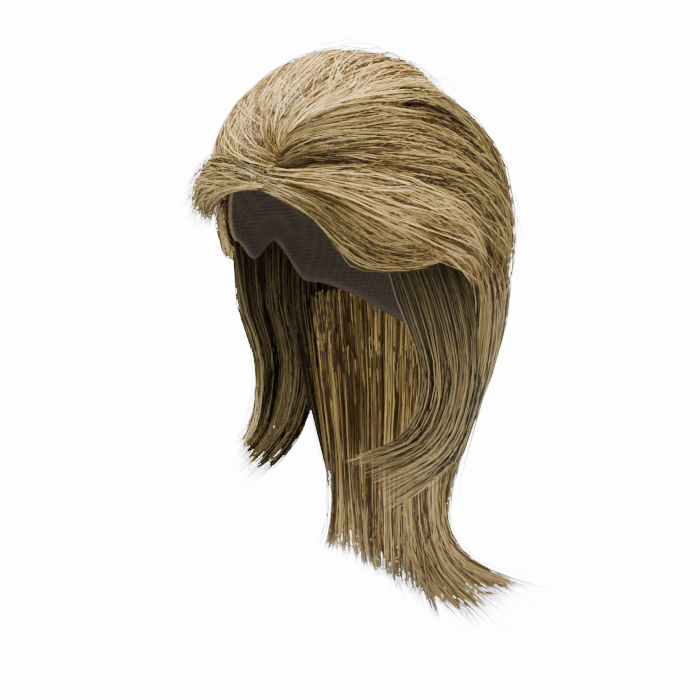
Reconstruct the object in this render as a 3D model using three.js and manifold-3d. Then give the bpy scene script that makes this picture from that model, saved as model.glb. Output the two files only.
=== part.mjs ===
// A wig of layered false hair with a lifted front, swept-back sides and a long back, on a thin stretch cap.
// Millimetres, +Z up. The wearer faces -Y and the wearer's left is +X.
// The origin is the crown of the head, on the inside of the cap.
import * as THREE from "three";
import Module from "manifold-3d";

const { degToRad, inverseLerp, lerp, smoothstep } = THREE.MathUtils;
const wasm = await Module();
wasm.setup();

// Head that the cap fits: an ellipsoid from the crown to the widest level, and a table below that
const HEAD_HALF_WIDTH = 77;
const HEAD_HALF_DEPTH = 99;
const CROWN_TO_WIDEST = 100;
const LOWER_HEAD = named(["height", "halfWidth", "front", "back"], [
  [-100, 77, 99, 99],
  [-165, 72, 92, 78],
  [-230, 58, 70, 62],
  [-420, 58, 60, 62],
]);

// Cap of stretch net, with its rim lower at the ear tabs and the nape
const CAP_WALL = 2;
const CAP_COLUMNS = 32;
const CAP_ROWS = 8;
const NECK_ROWS = 6;
const RIM = named(["turn", "height"], [
  [0, -46],
  [36, -60],
  [62, -98],
  [76, -112],
  [92, -100],
  [115, -132],
  [180, -164],
]);

// Hair: clear distance to the cap, over the flats of a neighbour and round its edges
const CAP_CLEARANCE = 0.4;
const HAIR_CLEARANCE = 0.8;
const EDGE_CLEARANCE = 0.7;

// Locks: how far they differ in length, and how late and how far they thin out towards their tips
const TIP_SPREAD = 0.06;
const TIP_RHYTHM = 2.4;
const TIP_THICKNESS_SHARE = 0.25;
const TIP_THINNING_POWER = 3;

// Point on the head's axis that the arch of a sheet of hair lifts away from
const CORE_HEIGHT = -70;

// Step across or along a sheet, as a share of it, for measuring its slopes
const SLOPE_STEP = 0.01;

const HAIR_ROUGHNESS = 0.5;
const CAP_COLOUR = 0x4a3b28;
const CAP_ROUGHNESS = 0.85;

// Outer faces of the sheets of hair: a row for each station from root to tip.
// The two edges a and b are placed by turn (degrees from the front towards the wearer's left),
// reach from the head's axis and height. Arch lifts the sheet between its edges.
const STATION = ["turnA", "reachA", "heightA", "turnB", "reachB", "heightB", "arch"];

const QUIFF = named(STATION, [
  [-12, 92, -58, 10, 86, -46, 2],
  [-42, 97, -42, 14, 91, -26, 9],
  [-54, 89, -18, 24, 79, -6, 16],
  [-68, 76, 0, 48, 57, 3, 24],
  [-95, 74, 6, 85, 51, 4, 34],
  [-118, 90, 2, 108, 72, 4, 34],
  [-132, 104, -18, 124, 92, -10, 22],
]);

const FRINGE = named(STATION, [
  [10, 87, -50, 8, 90, -57, 1],
  [-8, 91, -36, -17, 95, -59, 5],
  [-29, 98, -33, -36, 100, -73, 7],
  [-46, 116, -72, -50, 103, -93, 3],
]);

const CROWN_TOP = named(STATION, [
  [-80, 40, -8, 80, 40, -8, 10],
  [-94, 68, 0, 94, 68, 0, 28],
  [-112, 90, -18, 112, 90, -18, 40],
  [-116, 104, -53, 116, 104, -53, 64],
  [-116, 110, -104, 116, 110, -104, 68],
  [-118, 106, -158, 118, 106, -158, 58],
]);

const WING_LEFT_UPPER = named(STATION, [
  [6, 83, -24, 8, 88, -48, 1],
  [20, 79, -10, 36, 97, -42, 6],
  [42, 56, -1, 62, 107, -48, 10],
  [88, 52, 3, 90, 114, -62, 14],
  [120, 96, -22, 112, 118, -92, 10],
  [137, 116, -84, 122, 117, -122, 7],
]);

const WING_LEFT_MIDDLE = named(STATION, [
  [5, 86, -42, 11, 90, -54, 1],
  [32, 95, -38, 36, 99, -60, 4],
  [52, 99, -34, 54, 105, -75, 5],
  [74, 102, -40, 74, 110, -93, 6],
  [98, 106, -60, 92, 112, -108, 6],
  [116, 108, -90, 106, 111, -126, 5],
]);

const WING_LEFT_LOWER = named(STATION, [
  [2, 87, -46, 1, 90, -55, 1],
  [32, 93, -50, 29, 94, -73, 3],
  [50, 98, -60, 40, 96, -93, 4],
  [66, 102, -72, 52, 98, -108, 4],
  [84, 105, -80, 74, 100, -110, 4],
  [99, 107, -84, 95, 104, -103, 3],
]);

const WING_RIGHT_UPPER = named(STATION, [
  [-78, 38, -6, -42, 84, -50, 4],
  [-86, 66, 6, -52, 97, -40, 10],
  [-102, 87, 0, -72, 106, -48, 10],
  [-120, 107, -34, -98, 114, -74, 8],
  [-134, 116, -88, -120, 117, -116, 7],
]);

const WING_RIGHT_MIDDLE = named(STATION, [
  [-44, 78, -46, -50, 86, -72, 2],
  [-58, 88, -42, -54, 93, -76, 4],
  [-76, 94, -42, -68, 101, -88, 6],
  [-98, 103, -62, -88, 107, -108, 6],
  [-116, 106, -90, -104, 108, -126, 5],
]);

const WING_RIGHT_LOWER = named(STATION, [
  [-50, 82, -66, -56, 87, -92, 2],
  [-58, 90, -66, -60, 91, -104, 3],
  [-70, 96, -72, -70, 95, -113, 3],
  [-84, 101, -78, -80, 100, -112, 3],
  [-99, 106, -83, -93, 104, -104, 3],
]);

const SIDE_LOCK = named(STATION, [
  [62, 84, -92, 118, 84, -90, 6],
  [72, 92, -140, 118, 102, -145, 6],
  [84, 88, -190, 122, 98, -200, 6],
  [80, 80, -230, 114, 86, -250, 6],
  [40, 84, -237, 65, 84, -282, 4],
]);

const BACK = named(STATION, [
  [106, 68, -40, 184, 77, -30, 12],
  [106, 104, -110, 184, 110, -110, 30],
  [110, 103, -165, 184, 105, -165, 29],
  [116, 92, -225, 184, 95, -225, 15],
  [124, 79, -275, 184, 85, -280, 7],
  [132, 81, -312, 184, 93, -320, 6],
]);

const TAIL = named(STATION, [
  [116, 83, -140, 183, 98, -130, 8],
  [122, 82, -215, 183, 88, -215, 10],
  [126, 72, -275, 183, 76, -285, 8],
  [128, 86, -316, 180, 90, -345, 7],
  [131, 142, -338, 174, 132, -397, 6],
]);

// Pieces of hair from the innermost layer outwards: each is cut clear of the cap and of those before it
const PIECES = named(["name", "stations", "locks", "rows", "thickness", "relief", "notch", "colour"], [
  ["tail_left", TAIL, 5, 8, 8, 2.0, 0.09, 0x8a7249],
  ["tail_right", mirrored(TAIL), 5, 8, 8, 2.0, 0.09, 0x8a7249],
  ["side_lock_left", SIDE_LOCK, 5, 9, 6, 1.8, 0.02, 0x6f5a38],
  ["side_lock_right", mirrored(SIDE_LOCK), 5, 9, 6, 1.8, 0.02, 0x6f5a38],
  ["back_left", BACK, 5, 8, 8, 2.2, 0.07, 0x77613b],
  ["back_right", mirrored(BACK), 5, 8, 8, 2.2, 0.07, 0x77613b],
  ["crown_top", CROWN_TOP, 9, 8, 8, 2.2, 0.07, 0x7d6640],
  ["wing_left_lower", WING_LEFT_LOWER, 4, 7, 6, 1.8, 0.08, 0x967d5c],
  ["wing_right_lower", WING_RIGHT_LOWER, 4, 7, 6, 1.8, 0.08, 0x967d5c],
  ["wing_left_middle", WING_LEFT_MIDDLE, 4, 7, 6, 1.8, 0.08, 0x8c7452],
  ["wing_right_middle", WING_RIGHT_MIDDLE, 4, 7, 6, 1.8, 0.08, 0x8c7452],
  ["wing_left_upper", WING_LEFT_UPPER, 5, 7, 7, 2.0, 0.08, 0x8c7452],
  ["wing_right_upper", WING_RIGHT_UPPER, 5, 7, 7, 2.0, 0.08, 0x8c7452],
  ["fringe", FRINGE, 5, 8, 5, 1.4, 0.03, 0x8f7148],
  ["quiff", QUIFF, 7, 8, 8, 2.2, 0.07, 0xb09a6e],
]);

// Gives each row of a table its column names
function named(columns, rows) {
  return rows.map((row) => Object.fromEntries(columns.map((column, index) => [column, row[index]])));
}

// The same sheet of hair on the wearer's other side
function mirrored(stations) {
  return stations.map((station) => ({ ...station, turnA: -station.turnA, turnB: -station.turnB }));
}

// Value of one column where another has the given value, eased between the table's rows
function eased(rows, along, value, column) {
  const next = rows.findIndex((row) => Math.abs(row[along]) >= Math.abs(value));
  if (next === 0) return rows[0][column];
  if (next < 0) return rows.at(-1)[column];
  const before = rows[next - 1];
  const after = rows[next];
  const share = inverseLerp(Math.abs(before[along]), Math.abs(after[along]), Math.abs(value));
  return lerp(before[column], after[column], smoothstep(share, 0, 1));
}

// Point at a turn, reach and height, as the tables give them
function placed(turn, reach, height) {
  const angle = degToRad(turn);
  return new THREE.Vector3(reach * Math.sin(angle), -reach * Math.cos(angle), height);
}

// Distance from the head's axis to its surface
function headReach(turn, height) {
  const angle = degToRad(turn);
  const facingBack = Math.cos(angle) < 0;
  let halfWidth;
  let halfDepth;
  if (height > -CROWN_TO_WIDEST) {
    const level = 1 + height / CROWN_TO_WIDEST;
    const share = Math.sqrt(Math.max(0, 1 - level * level));
    halfWidth = HEAD_HALF_WIDTH * share;
    halfDepth = HEAD_HALF_DEPTH * share;
  } else {
    halfWidth = eased(LOWER_HEAD, "height", height, "halfWidth");
    halfDepth = eased(LOWER_HEAD, "height", height, facingBack ? "back" : "front");
  }
  return 1 / Math.hypot(Math.sin(angle) / halfWidth, Math.cos(angle) / halfDepth);
}

// Height of the cap's rim at a turn
function rimHeight(turn) {
  return eased(RIM, "turn", turn, "height");
}

// Ring of points round the head, off its surface by the given distance
function headRing(heightAt, off) {
  return Array.from({ length: CAP_COLUMNS }, (_, column) => {
    const turn = (360 * column) / CAP_COLUMNS - 180;
    const height = heightAt(turn);
    const level = Math.max(0, 1 + height / CROWN_TO_WIDEST);
    return placed(turn, headReach(turn, height) + off * Math.sqrt(1 - level * level), height + off * level);
  });
}

// Rings from near the crown down to the cap's rim, closer together at the crown
function capRings(off) {
  const shares = Array.from({ length: CAP_ROWS }, (_, row) => (row + 1) / CAP_ROWS);
  return shares.map((share) => headRing((turn) => rimHeight(turn) * share * share, off));
}

// Closed loft from a first point through rings to a last point
function loft(first, rings, last) {
  const columns = rings[0].length;
  const points = [first, ...rings.flat(), last];
  const at = (ring, column) => 1 + ring * columns + (column % columns);
  const faces = [];
  for (let column = 0; column < columns; column++) {
    faces.push(0, at(0, column), at(0, column + 1));
    for (let ring = 0; ring < rings.length - 1; ring++) {
      const [a, b] = [at(ring, column), at(ring, column + 1)];
      const [c, d] = [at(ring + 1, column + 1), at(ring + 1, column)];
      faces.push(a, d, b, b, d, c);
    }
    faces.push(points.length - 1, at(rings.length - 1, column + 1), at(rings.length - 1, column));
  }
  const geometry = new THREE.BufferGeometry().setFromPoints(points);
  geometry.setIndex(faces);
  return geometry;
}

function capGeometry() {
  const walls = [...capRings(CAP_WALL), ...capRings(0).reverse()];
  return loft(placed(0, 0, CAP_WALL), walls, placed(0, 0, 0));
}

// The space that the head and neck take up, with room for the cap round it
function headSpace() {
  const off = CAP_WALL + CAP_CLEARANCE;
  const bottom = LOWER_HEAD.at(-1).height;
  const shares = Array.from({ length: NECK_ROWS }, (_, row) => (row + 1) / NECK_ROWS);
  const neckRings = shares.map((share) => headRing((turn) => lerp(rimHeight(turn), bottom, share), off));
  return loft(placed(0, 0, off), [...capRings(off), ...neckRings], placed(0, 0, bottom));
}

// A sheet of hair as a function: point at a share across from edge a to b, and along from root to tip
function sheet(stations) {
  const curve = (points) => new THREE.CatmullRomCurve3(points, false, "catmullrom", 0.5);
  const edgeA = curve(stations.map((s) => placed(s.turnA, s.reachA, s.heightA)));
  const edgeB = curve(stations.map((s) => placed(s.turnB, s.reachB, s.heightB)));
  const arch = curve(stations.map((s) => new THREE.Vector3(s.arch, 0, 0)));
  return (across, along) => {
    const point = edgeA.getPoint(along).lerp(edgeB.getPoint(along), across);
    const core = new THREE.Vector3(0, 0, Math.min(point.z, CORE_HEIGHT));
    const outward = point.clone().sub(core).normalize();
    return point.addScaledVector(outward, arch.getPoint(along).x * 4 * across * (1 - across));
  };
}

// Direction across the thickness of a sheet, away from the head
function sheetNormal(point, across, along) {
  const nearA = Math.max(across - SLOPE_STEP, 0);
  const nearB = Math.min(across + SLOPE_STEP, 1);
  const nearRoot = Math.max(along - SLOPE_STEP, 0);
  const nearTip = Math.min(along + SLOPE_STEP, 1);
  const sideways = point(nearB, along).sub(point(nearA, along));
  const lengthways = point(across, nearTip).sub(point(across, nearRoot));
  return sideways.cross(lengthways).normalize();
}

// Share of the sheet's length that each column reaches: locks differ, and are notched between
function tipShare(piece, column) {
  const lockTip = (lock) => 1 - TIP_SPREAD * (0.5 + 0.5 * Math.sin(TIP_RHYTHM * lock));
  const lock = Math.floor(column / 2);
  if (column % 2 === 1) return lockTip(lock);
  return Math.min(lockTip(lock - 1), lockTip(lock)) - piece.notch;
}

// Closed shell between two grids of points
function shell(front, back) {
  const rows = front.length - 1;
  const columns = front[0].length - 1;
  const points = [...front.flat(), ...back.flat()];
  const at = (row, column) => row * (columns + 1) + column;
  const behind = (row, column) => at(row, column) + front.length * front[0].length;
  const faces = [];
  const quad = (a, b, c, d) => faces.push(a, b, c, a, c, d);
  for (let row = 0; row < rows; row++) {
    for (let column = 0; column < columns; column++) {
      const corners = [[row, column], [row, column + 1], [row + 1, column + 1], [row + 1, column]];
      quad(...corners.map((corner) => at(...corner)));
      quad(...corners.reverse().map((corner) => behind(...corner)));
    }
    quad(at(row, 0), at(row + 1, 0), behind(row + 1, 0), behind(row, 0));
    quad(at(row + 1, columns), at(row, columns), behind(row, columns), behind(row + 1, columns));
  }
  for (let column = 0; column < columns; column++) {
    quad(at(0, column + 1), at(0, column), behind(0, column), behind(0, column + 1));
    quad(at(rows, column), at(rows, column + 1), behind(rows, column + 1), behind(rows, column));
  }
  const geometry = new THREE.BufferGeometry().setFromPoints(points);
  geometry.setIndex(faces);
  return geometry;
}

// One piece of hair: a sheet of ridged locks that thin out towards notched tips, grown all round if asked
function locksGeometry(piece, grown) {
  const point = sheet(piece.stations);
  const columns = 2 * piece.locks;
  const middle = point(0.5, 0.5);
  const facing = Math.sign(sheetNormal(point, 0.5, 0.5).dot(middle.clone().setZ(middle.z - CORE_HEIGHT)));
  const front = [];
  const back = [];
  for (let row = 0; row <= piece.rows; row++) {
    front.push([]);
    back.push([]);
    for (let column = 0; column <= columns; column++) {
      const across = column / columns;
      const along = (row / piece.rows) * tipShare(piece, column);
      const normal = sheetNormal(point, across, along).multiplyScalar(facing);
      const thinning = lerp(1, TIP_THICKNESS_SHARE, Math.pow(along, TIP_THINNING_POWER));
      const crest = column % 2 === 1;
      const below = crest ? 0 : piece.relief * thinning;
      const centre = point(across, along);
      if (grown > 0) centre.add(edgeGrowth(point, piece, row, column));
      front[row].push(centre.clone().addScaledVector(normal, grown - below));
      back[row].push(centre.clone().addScaledVector(normal, -piece.thickness * thinning - grown));
    }
  }
  return facing > 0 ? shell(front, back) : shell(back, front);
}

// Step outwards at the rim of a grown sheet
function edgeGrowth(point, piece, row, column) {
  const columns = 2 * piece.locks;
  const across = column / columns;
  const along = (row / piece.rows) * tipShare(piece, column);
  const growth = new THREE.Vector3();
  const push = (from, to) => growth.add(to.sub(from).setLength(EDGE_CLEARANCE));
  if (column === 0) push(point(SLOPE_STEP, along), point(0, along));
  if (column === columns) push(point(1 - SLOPE_STEP, along), point(1, along));
  if (row === 0) push(point(across, SLOPE_STEP), point(across, 0));
  if (row === piece.rows) push(point(across, along - SLOPE_STEP), point(across, along));
  return growth;
}

function solidOf(geometry) {
  const vertProperties = new Float32Array(geometry.getAttribute("position").array);
  const triVerts = new Uint32Array(geometry.index.array);
  return new wasm.Manifold(new wasm.Mesh({ numProp: 3, vertProperties, triVerts }));
}

function geometryOf(solid) {
  const mesh = solid.getMesh();
  const geometry = new THREE.BufferGeometry();
  geometry.setAttribute("position", new THREE.Float32BufferAttribute(mesh.vertProperties, 3));
  geometry.setIndex(Array.from(mesh.triVerts));
  return geometry;
}

function largestBody(solid) {
  return solid.decompose().reduce((best, body) => (body.volume() > best.volume() ? body : best));
}

function meshNamed(name, geometry, color, roughness) {
  geometry.computeVertexNormals();
  const mesh = new THREE.Mesh(geometry, new THREE.MeshStandardMaterial({ color, roughness, metalness: 0 }));
  mesh.name = name;
  return mesh;
}

const wig = new THREE.Group();
wig.add(meshNamed("wig_cap", capGeometry(), CAP_COLOUR, CAP_ROUGHNESS));

const taken = [solidOf(headSpace())];
for (const piece of PIECES) {
  const uncut = solidOf(locksGeometry(piece, 0));
  const cut = taken.reduce((solid, space) => solid.subtract(space), uncut);
  wig.add(meshNamed(piece.name, geometryOf(largestBody(cut)), piece.colour, HAIR_ROUGHNESS));
  taken.push(uncut, solidOf(locksGeometry(piece, HAIR_CLEARANCE)));
}

export default wig;
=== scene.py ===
"""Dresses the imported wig: combed strands over each sheet of hair, a net cap inside, and a plain studio.

The sheets of hair are the ones that the solids are made from, with the roots at the right temple brought
forward, the right upper wing carried further under the hair on top, the tails meeting at the back and the
side locks bending more gently. Geometry Nodes comb strands over them.
"""
import math

import bpy
import numpy as np
from bpy.props import FloatProperty, FloatVectorProperty, IntProperty, PointerProperty
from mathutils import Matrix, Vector


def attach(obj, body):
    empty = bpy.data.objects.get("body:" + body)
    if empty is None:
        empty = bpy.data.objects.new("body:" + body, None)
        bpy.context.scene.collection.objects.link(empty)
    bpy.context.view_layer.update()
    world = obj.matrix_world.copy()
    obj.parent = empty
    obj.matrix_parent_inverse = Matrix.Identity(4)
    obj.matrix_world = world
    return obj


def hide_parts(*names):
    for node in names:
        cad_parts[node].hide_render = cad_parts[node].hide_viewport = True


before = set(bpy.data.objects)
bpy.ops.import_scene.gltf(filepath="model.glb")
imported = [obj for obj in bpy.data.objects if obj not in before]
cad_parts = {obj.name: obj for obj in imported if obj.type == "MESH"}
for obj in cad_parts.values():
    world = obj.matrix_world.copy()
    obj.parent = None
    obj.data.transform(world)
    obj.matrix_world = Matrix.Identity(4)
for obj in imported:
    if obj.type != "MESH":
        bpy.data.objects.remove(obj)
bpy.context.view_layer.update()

bl_info = {
    "name": "Layered wig",
    "version": (1, 0, 0),
    "blender": (4, 5, 0),
    "location": "View3D > Sidebar > Wig",
    "description": "Combs strands over the sheets of a packed wig and sets up a plain studio",
    "category": "Object",
}

BODY = "root"
MM = 0.001

# Head that the cap fits, in millimetres: an ellipsoid down to the widest level, a table below that for the cap,
# and the neck that it narrows to for the strands, which keep clear of it
HEAD_HALF_WIDTH = 77
HEAD_HALF_DEPTH = 99
CROWN_TO_WIDEST = 100
LOWER_HEIGHTS = (-100, -165, -230, -420)
LOWER_HALF_WIDTHS = (77, 72, 58, 58)
LOWER_FRONTS = (99, 92, 70, 60)
LOWER_BACKS = (99, 78, 62, 62)
NECK_HEIGHT = -230
NECK_HALF_WIDTH = 58
NECK_HALF_DEPTH = 64

# Rim of the cap: turn from the front in degrees, height in millimetres
RIM_TURNS = (0, 36, 62, 76, 92, 115, 180)
RIM_HEIGHTS = (-46, -60, -98, -112, -100, -132, -164)

# Point on the head's axis that the arch of a sheet lifts away from, in millimetres
CORE_HEIGHT = -70

# Sheets of hair, a row for each station from root to tip:
# turn, reach and height of edge a, then of edge b, then the arch between them, in degrees and millimetres
QUIFF = (
    (-12, 92, -58, 10, 86, -46, 2),
    (-42, 97, -42, 14, 91, -26, 9),
    (-54, 89, -18, 24, 79, -6, 16),
    (-68, 76, 0, 48, 57, 3, 24),
    (-95, 74, 6, 85, 51, 4, 34),
    (-118, 90, 2, 108, 72, 4, 34),
    (-132, 104, -18, 124, 92, -10, 22),
)
FRINGE = (
    (10, 87, -50, 8, 90, -57, 1),
    (-8, 91, -36, -17, 95, -59, 5),
    (-29, 98, -33, -36, 100, -73, 7),
    (-46, 116, -72, -50, 103, -93, 3),
)
CROWN_TOP = (
    (-80, 40, -8, 80, 40, -8, 10),
    (-94, 68, 0, 94, 68, 0, 28),
    (-112, 90, -18, 112, 90, -18, 40),
    (-116, 104, -53, 116, 104, -53, 64),
    (-116, 110, -104, 116, 110, -104, 68),
    (-118, 106, -158, 118, 106, -158, 58),
)
WING_LEFT_UPPER = (
    (6, 83, -24, 8, 88, -48, 1),
    (20, 79, -10, 36, 97, -42, 6),
    (42, 56, -1, 62, 107, -48, 10),
    (88, 52, 3, 90, 114, -62, 14),
    (120, 96, -22, 112, 118, -92, 10),
    (137, 116, -84, 122, 117, -122, 7),
)
WING_LEFT_MIDDLE = (
    (5, 86, -42, 11, 90, -54, 1),
    (32, 95, -38, 36, 99, -60, 4),
    (52, 99, -34, 54, 105, -75, 5),
    (74, 102, -40, 74, 110, -93, 6),
    (98, 106, -60, 92, 112, -108, 6),
    (116, 108, -90, 106, 111, -126, 5),
)
WING_LEFT_LOWER = (
    (2, 87, -46, 1, 90, -55, 1),
    (32, 93, -50, 29, 94, -73, 3),
    (50, 98, -60, 40, 96, -93, 4),
    (66, 102, -72, 52, 98, -108, 4),
    (84, 105, -80, 74, 100, -110, 4),
    (99, 107, -84, 95, 104, -103, 3),
)
WING_RIGHT_UPPER = (
    (-78, 38, -6, -42, 84, -50, 4),
    (-94, 52, 8, -52, 97, -40, 12),
    (-112, 74, 2, -72, 106, -48, 12),
    (-126, 104, -30, -98, 114, -74, 8),
    (-134, 116, -88, -120, 117, -116, 7),
)
WING_RIGHT_MIDDLE = (
    (-32, 88, -42, -38, 92, -64, 2),
    (-58, 88, -42, -54, 93, -76, 4),
    (-76, 94, -42, -68, 101, -88, 6),
    (-98, 103, -62, -88, 107, -108, 6),
    (-116, 106, -90, -104, 108, -126, 5),
)
WING_RIGHT_LOWER = (
    (-40, 90, -60, -46, 91, -80, 2),
    (-58, 90, -66, -60, 91, -104, 3),
    (-70, 96, -72, -70, 95, -113, 3),
    (-84, 101, -78, -80, 100, -112, 3),
    (-99, 106, -83, -93, 104, -104, 3),
)
SIDE_LOCK = (
    (62, 84, -92, 118, 84, -90, 6),
    (72, 92, -140, 118, 102, -145, 6),
    (83, 88, -188, 121, 98, -200, 6),
    (73, 82, -226, 108, 86, -250, 6),
    (40, 84, -237, 65, 84, -282, 4),
)
BACK = (
    (106, 68, -40, 184, 77, -30, 12),
    (106, 104, -110, 184, 110, -110, 30),
    (110, 103, -165, 184, 105, -165, 29),
    (116, 92, -225, 184, 95, -225, 15),
    (124, 79, -275, 184, 85, -280, 7),
    (132, 81, -312, 184, 93, -320, 6),
)
TAIL = (
    (116, 83, -140, 183, 98, -130, 8),
    (122, 82, -215, 187, 88, -215, 10),
    (126, 72, -275, 188, 76, -285, 8),
    (128, 86, -316, 184, 90, -345, 7),
    (131, 142, -338, 174, 132, -397, 6),
)

# Strands of each sheet, or of a sheet and its mirror image: how many, the points on each, the locks that
# they belong to, the share that belongs to no lock, and how many times the usual width they are.
# Focus over 1 gathers a strand's points at its root, and under 1 at its tip.
STRAND_COLUMNS = ("strands", "points", "locks", "loose", "thick", "focus")
STRANDS = {
    "quiff": (2600, 11, 70, 0.35, 1.0, 1.35),
    "fringe": (1150, 9, 30, 0.35, 1.0, 1.35),
    "crown_top": (1900, 10, 70, 0.60, 1.35, 1.35),
    "wing_left_upper": (1350, 10, 48, 0.35, 1.15, 1.35),
    "wing_left_middle": (1250, 10, 44, 0.35, 1.15, 1.35),
    "wing_left_lower": (1200, 10, 40, 0.35, 1.15, 1.35),
    "wing_right_upper": (900, 9, 40, 0.35, 1.3, 1.35),
    "wing_right_middle": (850, 9, 36, 0.35, 1.3, 1.35),
    "wing_right_lower": (850, 9, 32, 0.35, 1.3, 1.35),
    "side_lock": (900, 10, 32, 0.75, 1.5, 0.75),
    "back": (1000, 9, 36, 0.75, 1.5, 1.1),
    "tail": (950, 10, 32, 0.75, 1.7, 0.85),
}

# How strands flow over each sheet. Width is a lock's half width, in lock spacings. Depth, lift and frizz
# are in millimetres: how far strands lie below the sheet, stand above it and curl. Skew is how far locks
# wander and cross how far single strands do, as shares of the sheet's width. Clump is how much locks narrow,
# tips and roots are how uneven the ends are, and stray is how many strands stand out, all as shares.
# Strands with sweep start at edge b and fan out over the sheet.
FLOW_COLUMNS = (
    "width", "depth", "lift", "skew", "cross", "clump", "frizz", "tips", "roots", "stray", "sweep")
FLOWS = {
    "quiff": (2.8, 10.0, 4.0, 0.07, 0.05, 0.5, 0.8, 0.50, 0.60, 0.09, 0.95),
    "fringe": (2.8, 7.0, 4.0, 0.24, 0.20, 0.4, 0.8, 0.40, 0.25, 0.12, 0.0),
    "crown_top": (2.6, 14.0, 3.0, 0.05, 0.04, 0.5, 0.6, 0.50, 0.35, 0.05, 0.0),
    "wing_left_upper": (2.8, 9.0, 4.0, 0.28, 0.22, 0.5, 1.2, 0.45, 0.45, 0.04, 0.0),
    "wing_left_middle": (2.8, 8.0, 4.0, 0.32, 0.22, 0.5, 1.2, 0.45, 0.45, 0.04, 0.0),
    "wing_left_lower": (2.8, 8.0, 4.0, 0.28, 0.20, 0.5, 1.2, 0.40, 0.45, 0.03, 0.0),
    "wing_right_upper": (2.8, 9.0, 4.0, 0.26, 0.20, 0.5, 1.2, 0.45, 0.30, 0.04, 0.0),
    "wing_right_middle": (2.8, 8.0, 4.0, 0.28, 0.20, 0.5, 1.2, 0.45, 0.30, 0.04, 0.0),
    "wing_right_lower": (2.8, 8.0, 4.0, 0.26, 0.20, 0.5, 1.2, 0.40, 0.30, 0.03, 0.0),
    "side_lock": (3.0, 9.0, 3.0, 0.10, 0.02, 0.4, 0.8, 0.20, 0.05, 0.03, 0.0),
    "back": (3.0, 11.0, 3.0, 0.08, 0.02, 0.4, 0.6, 0.35, 0.10, 0.03, 0.0),
    "tail": (3.0, 11.0, 3.0, 0.10, 0.02, 0.4, 0.8, 0.25, 0.20, 0.05, 0.0),
}
FLOW_LENGTHS = ("depth", "lift", "frizz")

# Inputs of the combing nodes, by kind
COMB_INPUTS = {
    "Geometry": ("Guide",),
    "Int": ("Strands", "Points", "Locks", "Seed"),
    "Material": ("Material",),
    "Float": ("Width", "Depth", "Lift", "Skew", "Cross", "Clump", "Frizz", "Tips", "Roots", "Stray", "Sweep",
              "Loose", "Radius", "Focus"),
}

# Random draws of the combing, and how far apart the seeds of two sheets are
DRAWS = {
    "lock": 1,
    "spread": 2,
    "spread_back": 3,
    "depth": 4,
    "lock_place": 5,
    "lock_turn": 6,
    "start": 7,
    "lock_tip": 8,
    "tip": 9,
    "stray": 10,
    "lock_lift": 11,
    "stray_lift": 12,
    "curl": 13,
    "tint": 14,
    "lock_tint": 15,
    "radius": 16,
    "cross": 17,
    "lock_depth": 18,
    "lock_fan": 19,
    "loose": 20,
    "loose_place": 21,
    "streak": 22,
}
SEED_STEP = 100

# Creases that the hair is pressed into: where their middles are, how wide, how deep and how much painted shade
# darkens the hair in them.
# Lengths are in millimetres, turns in degrees from the front.
HOLLOW = ("turn", "reach", "height", "radius", "sink", "shade")
HOLLOWS = (
    (82, 66, -1, 18, 7.0, 1.20),
    (90, 85, -14, 16, 3.0, 0.45),
    (20, 91, -35, 12, 3.0, 0.30),
    (31, 96, -33, 14, 5.0, 0.70),
    (41, 98, -34, 14, 4.0, 0.60),
    (53, 106, -48, 12, 4.0, 0.65),
    (61, 106, -46, 12, 4.0, 0.65),
    (71, 110, -83, 15, 5.0, 0.75),
    (72, 112, -73, 10, 3.0, 0.50),
    (33, 97, -61, 10, 2.0, 0.25),
)

# Painted highlights: streaks of paler strands down a ridge at the side, and the share of strands there that are
# pale
PAINTED_HIGHLIGHT_SPOT = ("turn", "reach", "height", "radius")
PAINTED_HIGHLIGHTS = (
    (105, 112, -112, 14),
    (108, 109, -135, 14),
    (110, 105, -158, 14),
    (112, 101, -182, 14),
)
PAINTED_HIGHLIGHT_SHARE = 0.5

# Most that a strand's tint can be: from 1 up it turns from light to the painted highlight's colour
PAINTED_HIGHLIGHT_TINT = 1.3

# How fast noise changes: from strand to strand or lock to lock, along a strand, and from sheet to sheet
DRIFT = (4, 1.5, 0.37)
WAVE = (7.3, 3.5, 0.53)
RIPPLE = (3.7, 3, 0.71)

# Locks: room at the sides of a lock's own strip, in lock spacings, how late locks narrow,
# and how far they sag at their sides, in millimetres
LOCK_MARGIN = 0.15
NARROW_POWER = 1.5
LOCK_SAG = 1.0

# Wandering: how much of it is drift and how much a lock's waves, how much further stray strands cross,
# and the share of it that is left at a sheet's side edges
DRIFT_WANDER = 2
WAVE_WANDER = 3
STRAY_CROSS = 2
EDGE_WANDER = 0.4

# Fans of swept strands: the share of locks at edge a that stay out and how fast it falls towards edge b,
# how sharply strands turn at edge a and how much less at edge b, and how much of their start is random
FAN_SKIP = 0.6
FAN_SKIP_POWER = 1.5
FAN_TURN = 4.0
FAN_EASE = 2.4
FAN_START = 0.75

# Tips: how much of their unevenness a lock has in common, how much longer stray strands are,
# and how far tips settle onto the hair below them, in millimetres
TIP_BY_LOCK = 0.6
STRAY_LENGTH = 0.06
TIP_SETTLE = 5.0

# Roots: how far strands start below the sheet, in millimetres, and over what share of their length they rise
ROOT_DIVE = 7.0
ROOT_DIVE_SHARE = 0.18

# Depth of a strand: how much of it a lock has in common, and how much flatter clumped tips are
DEPTH_BY_LOCK = 0.5
TIP_FLATTEN = 0.5

# Lift of a strand, in multiples of the sheet's lift: the most that a lock has, how much less it may have,
# and what drift, ripples and straying add
LOCK_LIFT = 0.8
LOCK_LIFT_LESS = 0.4
DRIFT_LIFT = 0.6
RIPPLE_LIFT = 0.6
STRAY_LIFT = 2.5

# Side edges: how far past them strands may go before they turn back, as a share of the sheet's width,
# how far strands sink there, in millimetres, and from where and over what share of the width
SIDE_SPILL = 0.09
EDGE_SINK = 4.0
EDGE_START = -0.02
EDGE_SHARE = 0.15

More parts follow.
